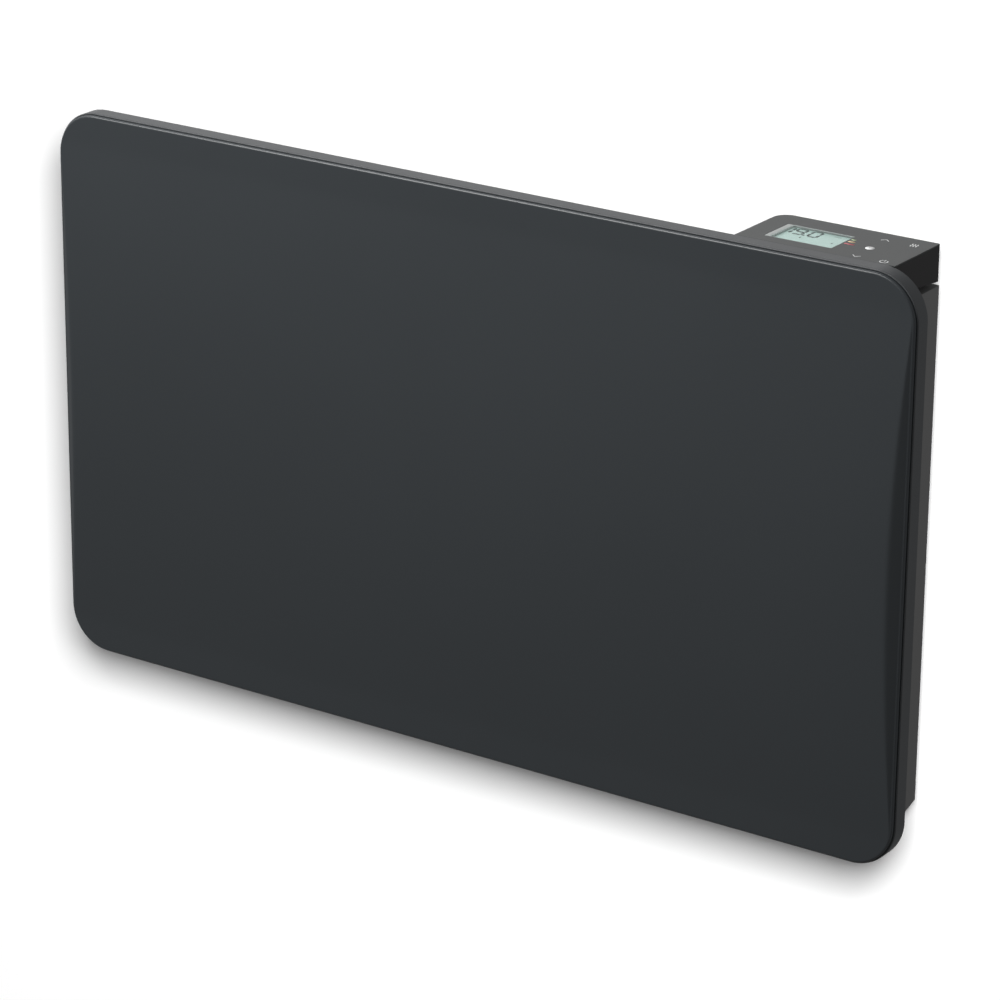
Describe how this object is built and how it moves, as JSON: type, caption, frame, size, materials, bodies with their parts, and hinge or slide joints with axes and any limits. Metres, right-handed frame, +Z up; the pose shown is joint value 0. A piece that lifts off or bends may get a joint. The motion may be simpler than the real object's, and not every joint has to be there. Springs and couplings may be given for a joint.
{
  "type": "ceramic electric radiator",
  "caption": "Flat wall-hung electric radiator: shallow arched front plate in a dark frame, ceramic core, rear casing, and a touch control box with a display at the top right.",
  "frame": {"origin": "centre of the four wall bolts, on the wall plane, level with the middle of the front panel", "axes": "+X along the width, towards the control box; +Y into the wall, so the face looks along -Y; +Z up"},
  "size_m": [0.8, 0.1143, 0.473],
  "materials": {
    "frame_plastic": "satin dark grey moulded plastic",
    "plate_paint": "dark anthracite satin paint over pressed aluminium sheet",
    "casing_paint": "dark grey powder coat on steel sheet",
    "box_plastic": "dark satin moulded plastic",
    "touch_film": "grey touch film with printed symbols",
    "grille_plastic": "heat-resistant moulded plastic",
    "seal_rubber": "black silicone foam",
    "ceramic": "unglazed fired ceramic",
    "sheath_steel": "annealed stainless sheath",
    "zinc_steel": "zinc-plated steel",
    "bare_aluminium": "mill-finish aluminium sheet",
    "clear_window": "clear window",
    "lcd": "pale green liquid-crystal cell",
    "white_plastic": "white moulded plastic",
    "circuit_board": "green circuit board",
    "black_plastic": "black moulded plastic",
    "relay_blue": "blue relay case",
    "ferrite": "ferrite core with a taped coil",
    "terminal_green": "green terminal housing",
    "brass": "bright brass",
    "lead_insulation": "red-brown silicone insulation",
    "latch_plastic": "orange moulded plastic"
  },
  "bodies": {
    "radiator": {"front_frame": "frame_plastic", "front_plate": "plate_paint", "plate_studs": "zinc_steel", "plate_seal": "seal_rubber", "plate_clips": "zinc_steel", "plate_nuts": "zinc_steel", "heat_spreader": "bare_aluminium", "heating_element": "sheath_steel", "element_beads": "ceramic", "front_brick_1": "ceramic", "front_brick_2": "ceramic", "front_brick_3": "ceramic", "front_brick_4": "ceramic", "front_brick_5": "ceramic", "front_brick_6": "ceramic", "rear_brick_1": "ceramic", "rear_brick_2": "ceramic", "rear_brick_3": "ceramic", "rear_brick_4": "ceramic", "rear_brick_5": "ceramic", "rear_brick_6": "ceramic", "clamp_bar_left": "zinc_steel", "clamp_bar_middle": "zinc_steel", "clamp_bar_right": "zinc_steel", "thermal_cutout": "black_plastic", "heat_reflector": "bare_aluminium", "reflector_screws": "zinc_steel", "rear_casing": "casing_paint", "outlet_grille": "grille_plastic", "inlet_grille": "grille_plastic", "casing_screws": "zinc_steel", "room_sensor": "white_plastic", "cable_gland": "black_plastic", "gland_nut": "black_plastic", "element_leads": "lead_insulation", "box_housing": "box_plastic", "box_screws": "zinc_steel", "touch_panel": "touch_film", "display_window": "clear_window", "lcd_glass": "lcd", "lcd_backlight": "white_plastic", "control_board": "circuit_board", "touch_pads": "zinc_steel", "board_posts": "brass", "power_board": "circuit_board", "relay": "relay_blue", "supply_transformer": "ferrite", "terminal_block": "terminal_green", "switch_body": "black_plastic", "left_bracket": "zinc_steel", "right_bracket": "zinc_steel", "left_latch_pin": "zinc_steel", "right_latch_pin": "zinc_steel"},
    "left_latch": {"left_latch": "latch_plastic"},
    "right_latch": {"right_latch": "latch_plastic"},
    "rocker": {"rocker": "black_plastic"}
  },
  "joints": [
    {"name": "left_latch_turn", "type": "hinge", "parent": "radiator", "child": "left_latch", "pos_m": [-0.22, -0.011, -0.1825], "axis": [1, 0, 0], "range_deg": [0, 14], "stiffness_Nm_per_rad": 0.08, "springref_deg": -8.59},
    {"name": "right_latch_turn", "type": "hinge", "parent": "radiator", "child": "right_latch", "pos_m": [0.22, -0.011, -0.1825], "axis": [1, 0, 0], "range_deg": [0, 14], "stiffness_Nm_per_rad": 0.08, "springref_deg": -8.59},
    {"name": "rocker_swing", "type": "hinge", "parent": "radiator", "child": "rocker", "pos_m": [0.261, -0.0215, 0.2195], "axis": [0, 0, -1], "range_deg": [0, 16]}
  ]
}
